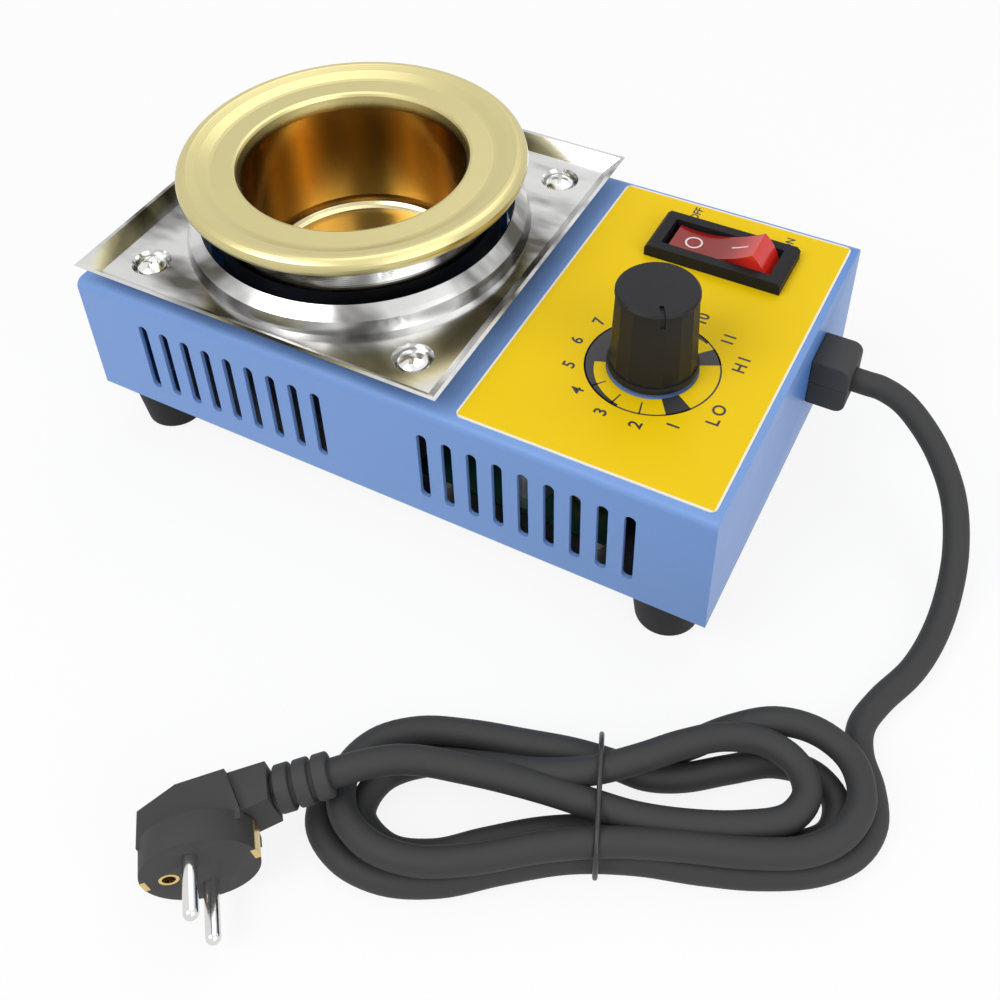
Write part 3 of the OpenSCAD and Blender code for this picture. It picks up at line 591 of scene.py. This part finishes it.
def softened(node, name, width, segments=3, angle=38):
    """A merged copy of a CAD node with its sharp edges rounded as a moulding's are."""
    deselect()
    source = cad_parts[node]
    made = source.copy()
    made.data = source.data.copy()
    for key in [k for k in made.keys() if k.startswith("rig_")]:
        del made[key]
    made.parent = None
    made.matrix_world = Matrix.Identity(4)
    bpy.context.scene.collection.objects.link(made)
    take(made)
    bpy.ops.object.mode_set(mode="EDIT")
    bpy.ops.mesh.select_all(action="SELECT")
    bpy.ops.mesh.remove_doubles(threshold=0.000005)
    bpy.ops.mesh.dissolve_limited(angle_limit=math.radians(3))
    bpy.ops.object.mode_set(mode="OBJECT")
    bevel = made.modifiers.new("edges", "BEVEL")
    bevel.width = width
    bevel.segments = segments
    bevel.limit_method = "ANGLE"
    bevel.angle_limit = math.radians(angle)
    bevel.use_clamp_overlap = True
    bpy.ops.object.modifier_apply(modifier="edges")
    bpy.ops.object.shade_smooth_by_angle(angle=math.radians(40))
    return made


# ---------------------------------------------------------------- the lead

# Route of the lead from the strain relief to the hank, in millimetres in the frame
RUN = [
    (83.25, 17.4, 30.3), (86.25, 17.4, 30.3), (91, 16.9, 29), (96, 15, 26.4),
    (101.6, 11.8, 22.2), (107, 6.6, 16.5), (110.6, -1.2, 10.4), (112, -10, 5.8),
    (111.8, -19.2, 3.6), (110, -28.6, 3), (106.2, -38, 2.8),
]

# The hank's turns, along and across its own axis and up, in millimetres: clockwise from the
# right fold. Each turn goes along the front, round the left fold and back to the tie.
HANK_MIDDLE = Vector((65.25, -82.2, 0))
HANK_ALONG = Vector((0.8745, 0.4850, 0))
HANK_ACROSS = Vector((-0.4850, 0.8745, 0))
LOWER, UPPER = 2.8, 8.2
TURNS = [
    # first turn, on the floor
    (52.5, 13.5, LOWER), (51, 7.5, LOWER), (51.5, 1, LOWER), (50.5, -5.5, LOWER),
    (46, -11, LOWER), (38.5, -13.8, LOWER), (28, -14.2, LOWER), (18, -13, LOWER),
    (7, -11, LOWER), (-5, -10.4, LOWER), (-17, -12, LOWER), (-28, -14, LOWER),
    (-38, -13.2, LOWER), (-46, -9, LOWER), (-50, -2.5, LOWER), (-48.5, 4.5, LOWER),
    (-43, 9.5, LOWER), (-35, 11.4, LOWER), (-25, 10.4, LOWER), (-13, 8.4, LOWER),
    (-2, 7, LOWER), (8, 7.4, 3), (18, 9.4, 4.6), (27, 11.6, 6.8), (35.5, 12.2, UPPER),
    # second turn, on the first
    (43, 9.6, UPPER), (47.8, 3.8, UPPER), (48, -3.6, UPPER), (43.8, -9.6, UPPER),
    (36.5, -12.8, UPPER), (26, -12.8, UPPER), (14, -11.2, UPPER), (2, -10.2, UPPER),
    (-10, -10.8, UPPER), (-22, -12.6, UPPER), (-32, -12.6, UPPER), (-40.5, -9.2, UPPER),
    (-45.2, -3, UPPER), (-45, 4.4, UPPER), (-40, 10, UPPER), (-32, 12.2, UPPER),
    (-22, 11.2, UPPER), (-12, 9, UPPER), (-3, 7, 8), (4, 5, 7.2),
    # third turn, inside the first
    (10, 3.4, 5.4), (17, 3.8, 3.6), (26, 5.6, LOWER), (34.5, 6.6, LOWER), (41.6, 4, LOWER),
    (44.6, -1.6, LOWER), (42, -7.4, LOWER), (35, -9.4, LOWER), (26, -8.8, LOWER),
    (15, -7.4, LOWER), (3, -5.4, LOWER), (-9, -5.4, LOWER), (-20, -7.2, LOWER),
    (-29, -9, LOWER), (-37.4, -7.6, LOWER), (-42.4, -1.2, LOWER), (-39, 5.4, 3.2),
    (-30.5, 7.4, 5.2), (-20, 5, 7.6), (-10, 2.4, 9.6), (0, 1.8, 11),
    # last loop, over the others at the right
    (9, 3.8, 11.2), (17, 6.8, 10.2), (25, 8.8, 9), (32.5, 7.8, 8.4), (37.6, 3.4, UPPER),
    (38.4, -2.4, UPPER), (34.4, -6.8, UPPER), (26, -8, UPPER), (16, -7.4, UPPER),
    (7, -5.8, 8.4), (-1, -3.4, 9.2), (-9, -1, 10.2), (-17, 0.9, 11.4), (-24.3, 2.2, 12.6),
    (-30.1, 2.8, 14), (-35.7, 2.6, 15.2), (-42.1, 1.4, 15.5), (-46.9, 0.5, 14.65),
]
TIE = [
    (10.2, 2.8), (10.2, 8.2), (8.4, 11.4), (4.4, 14.1), (0.4, 14), (-5, 12.2), (-10.2, 11.5),
    (-13.6, 8.6), (-14, 2.8), (-10.8, 0.8), (-2, 0.7), (7, 0.8),
]


def on_hank(along, across, up):
    """A point of the hank's own axes, in metres in the frame."""
    return (HANK_MIDDLE + along * HANK_ALONG + across * HANK_ACROSS + up * UP) * MM


class POT_OT_lead(bpy.types.Operator):
    """Lays the mains lead: down from the strain relief, round its hank and into the plug"""
    bl_idname = "pot.lead"
    bl_label = "Mains lead"

    def execute(self, context):
        sizes, _ = settings()
        route = [OUTLET, *[Vector(p) * MM for p in RUN], *[on_hank(*p) for p in TURNS]]
        line = smooth(route, False, 6)
        lead = curve("mains_lead", route, sizes.lead_d)
        run = sum((b - a).length for a, b in zip(line, line[1:]))
        finish_piece(lead, "mains_lead", "cord_black", "base")
        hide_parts("mains_cord", "cord_hank", "plug_cord")
        return {"FINISHED"}


class POT_OT_tie(bpy.types.Operator):
    """Winds the thin wire tie round the middle of the hank"""
    bl_idname = "pot.tie"
    bl_label = "Hank tie"

    def execute(self, context):
        sizes, _ = settings()
        loop = [on_hank(1.2 + 0.12 * across, across, up) for across, up in TIE]
        tie = curve("hank_tie", loop, sizes.tie_d, closed=True, resolution=3)
        take(tie)
        bpy.ops.object.convert(target="MESH")
        tie = bpy.context.object
        finish_piece(tie, "hank_tie", "tie_wire", "base")
        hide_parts("cord_tie")
        return {"FINISHED"}


class POT_OT_mouldings(bpy.types.Operator):
    """Rounds the edges of the plug, its ribbed sleeve and the strain relief"""
    bl_idname = "pot.mouldings"
    bl_label = "Plug and strain relief"

    def execute(self, context):
        for node, name, width in (("plug_body", "plug_moulding", 0.7 * MM),
                                  ("plug_sleeve", "plug_ribs", 0.35 * MM),
                                  ("relief_upper", "relief_cap", 0.5 * MM),
                                  ("relief_lower", "relief_seat", 0.5 * MM)):
            piece = softened(node, name, width)
            finish_piece(piece, name, "plug_black", "base")
            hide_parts(node)
        return {"FINISHED"}


class POT_OT_finishes(bpy.types.Operator):
    """Gives every CAD node its finish"""
    bl_idname = "pot.finishes"
    bl_label = "Finishes"

    def execute(self, context):
        _, colours = settings()
        finishes = make_finishes(colours)
        for finish, nodes in NODE_FINISH.items():
            for node in nodes:
                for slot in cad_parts[node].material_slots:
                    slot.material = finishes[finish]
        return {"FINISHED"}


class POT_OT_dial(bpy.types.Operator):
    """Prints the dial's ring, crescent, blocks, ticks and numbers on the label"""
    bl_idname = "pot.dial"
    bl_label = "Dial print"

    def execute(self, context):
        sizes, _ = settings()
        ring, line, block = sizes.ring_r, sizes.ring_w, sizes.block_r
        shapes = [
            sector("ring", ring - line, ring, -100, 260, 96),
            sector("crescent_tail", (ring - 0.8 * MM, ring - 2.2 * MM), ring, -98, -160),
            sector("crescent_body", block, ring, -160, -262, 40),
            sector("crescent_end", (ring - 2.2 * MM, ring - 0.8 * MM), ring, -262, -304),
            sector("low_block", block, ring, -56, -34, 8),
            sector("high_block", block, ring, 27, 47, 8),
        ]
        for angle in (-78, -103.5, -129):
            half = math.degrees(line / 2 / ring)
            shapes.append(sector("tick", 10.6 * MM, ring, angle - half, angle + half, 2))
        print_piece = lay_on(join(shapes), "panel_label", sizes.print_t)
        finish_piece(print_piece, "dial_scale", "dial_ink", "base")
        marks = {"LO": -23, "1": -53, "2": -78, "3": -103.5, "4": -129, "5": -154.5, "6": 180,
                 "7": 154.5, "8": 129, "9": 103, "10": 77.5, "11": 52, "HI": 27}
        letters = []
        for text, angle in marks.items():
            turn = math.radians(angle)
            far = sizes.digit_r + (1.2 * MM if len(text) > 1 else 0)
            letters.append(words(" ".join(text) if text.isalpha() else text, sizes.digit_h,
                                 DIAL.x + far * math.cos(turn), DIAL.y + far * math.sin(turn)))
        numbers = lay_on(join(letters), "panel_label", sizes.print_t)
        finish_piece(numbers, "dial_numbers", "dial_ink", "base")
        off = words("OFF", 2.7 * MM, SWITCH.x - 10.5 * MM, SWITCH.y + 12 * MM)
        on = words("ON", 2.7 * MM, SWITCH.x + 12.1 * MM, SWITCH.y + 10.9 * MM)
        labels = lay_on(join([off, on]), "panel_label", sizes.print_t)
        finish_piece(labels, "switch_words", "dial_ink", "base")
        return {"FINISHED"}


class POT_OT_rocker_marks(bpy.types.Operator):
    """Prints the ring and the bar on the rocker's two halves"""
    bl_idname = "pot.rocker_marks"
    bl_label = "Rocker marks"

    def execute(self, context):
        sizes, _ = settings()
        deselect()
        at = Vector((SWITCH.x - 6.6 * MM, SWITCH.y, 0))
        bpy.ops.mesh.primitive_circle_add(vertices=48, radius=2.0 * MM, location=at,
                                          fill_type="NGON")
        ring = bpy.context.object
        bpy.ops.object.mode_set(mode="EDIT")
        bpy.ops.mesh.select_all(action="SELECT")
        bpy.ops.mesh.inset(thickness=0.42 * MM)
        bpy.ops.mesh.delete(type="FACE")
        bpy.ops.object.mode_set(mode="OBJECT")
        settle(ring)
        half_w, half_l = 0.24 * MM, 1.8 * MM
        x, y = SWITCH.x + 4.0 * MM, SWITCH.y
        bar = flat_shape("bar", [(x - half_l, y - half_w), (x + half_l, y - half_w),
                                 (x + half_l, y + half_w), (x - half_l, y + half_w)])
        take(bar)
        bpy.ops.object.mode_set(mode="EDIT")
        bpy.ops.mesh.select_all(action="SELECT")
        bpy.ops.mesh.subdivide(number_cuts=5)
        bpy.ops.object.mode_set(mode="OBJECT")
        marks = lay_on(join([ring, bar]), "rocker", sizes.print_t)
        finish_piece(marks, "rocker_marks", "pale_ink", "rocker")
        return {"FINISHED"}


# ---------------------------------------------------------------- stage

CAMERA_AT = Vector((0.1102, -0.19041, 0.23027))
CAMERA_RIGHT = Vector((0.88186, 0.47087, -0.02474))
CAMERA_UP = Vector((-0.29641, 0.59441, 0.74754))
CAMERA_AHEAD = Vector((-0.36670, 0.65189, -0.66376))


def lamp(name, place, aim, size, power):
    """A soft square lamp aimed at a point."""
    data = bpy.data.lights.new(name, "AREA")
    data.shape, data.size, data.energy = "SQUARE", size, power
    made = bpy.data.objects.new(name, data)
    made.location = place
    made.rotation_euler = (Vector(aim) - Vector(place)).to_track_quat("-Z", "Y").to_euler()
    bpy.context.scene.collection.objects.link(made)


def seen_white(tree, lit):
    """The share of plain white to mix over a lit shader: 1 where the camera, gloss or glass sees
    it. The lit shader it is passed is not used.
    """
    path = tree.nodes.new("ShaderNodeLightPath")
    seen = path.outputs["Is Camera Ray"]
    for ray in ("Is Glossy Ray", "Is Transmission Ray"):
        most = tree.nodes.new("ShaderNodeMath")
        most.operation = "MAXIMUM"
        tree.links.new(seen, most.inputs[0])
        tree.links.new(path.outputs[ray], most.inputs[1])
        seen = most.outputs[0]
    return seen


class POT_OT_stage(bpy.types.Operator):
    """Sets the camera, the pale floor, the world and the soft lamps"""
    bl_idname = "pot.stage"
    bl_label = "Stage"

    def execute(self, context):
        scene = context.scene
        camera = bpy.data.objects.new("camera", bpy.data.cameras.new("camera"))
        camera.data.sensor_width = 36
        camera.data.lens = 46.54
        camera.data.shift_y = -0.2
        camera.data.clip_start, camera.data.clip_end = 0.01, 20
        turn = Matrix((CAMERA_RIGHT, CAMERA_UP, -CAMERA_AHEAD)).transposed()
        camera.matrix_world = Matrix.Translation(CAMERA_AT) @ turn.to_4x4()
        scene.collection.objects.link(camera)
        scene.camera = camera
        scene.view_settings.view_transform = "Standard"
        self.make_floor()
        self.make_world(scene)
        lamp("key", (-0.35, -0.75, 0.95), (0, 0, 0.03), 0.7, 6.8)
        lamp("fill", (0.85, -0.35, 0.55), (0, 0, 0.03), 0.8, 3.6)
        lamp("top", (0.05, 0.35, 0.95), (0, 0, 0.03), 0.9, 2.9)
        return {"FINISHED"}

    def make_floor(self):
        deselect()
        bpy.ops.mesh.primitive_plane_add(size=6, location=(0, 0, 0))
        floor = bpy.context.object
        floor.name = "floor"
        made = bpy.data.materials.new("floor_white")
        made.use_nodes = True
        tree = made.node_tree
        base = next(n for n in tree.nodes if n.type == "BSDF_PRINCIPLED")
        out = next(n for n in tree.nodes if n.type == "OUTPUT_MATERIAL")
        base.inputs["Base Color"].default_value = (0.90, 0.90, 0.90, 1)
        base.inputs["Roughness"].default_value = 0.9
        glow = tree.nodes.new("ShaderNodeEmission")
        mix = tree.nodes.new("ShaderNodeMixShader")
        share = tree.nodes.new("ShaderNodeMath")
        share.operation = "MULTIPLY"
        share.inputs[1].default_value = 0.86
        tree.links.new(seen_white(tree, base), share.inputs[0])
        tree.links.new(share.outputs[0], mix.inputs[0])
        tree.links.new(base.outputs[0], mix.inputs[1])
        tree.links.new(glow.outputs[0], mix.inputs[2])
        tree.links.new(mix.outputs[0], out.inputs["Surface"])
        floor.data.materials.append(made)

    def make_world(self, scene):
        world = scene.world or bpy.data.worlds.new("world")
        scene.world = world
        world.use_nodes = True
        tree = world.node_tree
        tree.nodes.clear()
        lit = tree.nodes.new("ShaderNodeBackground")
        lit.inputs["Strength"].default_value = 0.34
        white = tree.nodes.new("ShaderNodeBackground")
        for shader in (lit, white):
            shader.inputs["Color"].default_value = (1, 1, 1, 1)
        mix = tree.nodes.new("ShaderNodeMixShader")
        out = tree.nodes.new("ShaderNodeOutputWorld")
        tree.links.new(seen_white(tree, lit), mix.inputs[0])
        tree.links.new(lit.outputs[0], mix.inputs[1])
        tree.links.new(white.outputs[0], mix.inputs[2])
        tree.links.new(mix.outputs[0], out.inputs["Surface"])


OPERATORS = (POT_OT_finishes, POT_OT_stage, POT_OT_mouldings, POT_OT_lead, POT_OT_tie,
             POT_OT_dial, POT_OT_rocker_marks)


class POT_PT_panel(bpy.types.Panel):
    """Lists the pot's pieces"""
    bl_idname = "POT_PT_panel"
    bl_label = "Solder pot"
    bl_space_type = "VIEW_3D"
    bl_region_type = "UI"
    bl_category = "Solder pot"

    def draw(self, context):
        for operator in OPERATORS:
            self.layout.operator(operator.bl_idname)
        for group in (context.scene.pot_sizes, context.scene.pot_colours):
            for name in group.bl_rna.properties.keys():
                if name not in ("rna_type", "name"):
                    self.layout.prop(group, name)


CLASSES = (PotSizes, PotColours, *OPERATORS, POT_PT_panel)


def register():
    for made in CLASSES:
        bpy.utils.register_class(made)
    bpy.types.Scene.pot_sizes = PointerProperty(type=PotSizes)
    bpy.types.Scene.pot_colours = PointerProperty(type=PotColours)


def unregister():
    del bpy.types.Scene.pot_colours
    del bpy.types.Scene.pot_sizes
    for made in reversed(CLASSES):
        bpy.utils.unregister_class(made)


def main():
    """Registers the add-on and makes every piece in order."""
    register()
    for operator in OPERATORS:
        group, name = operator.bl_idname.split(".")
        getattr(getattr(bpy.ops, group), name)()


if __name__ == "__main__":
    main()
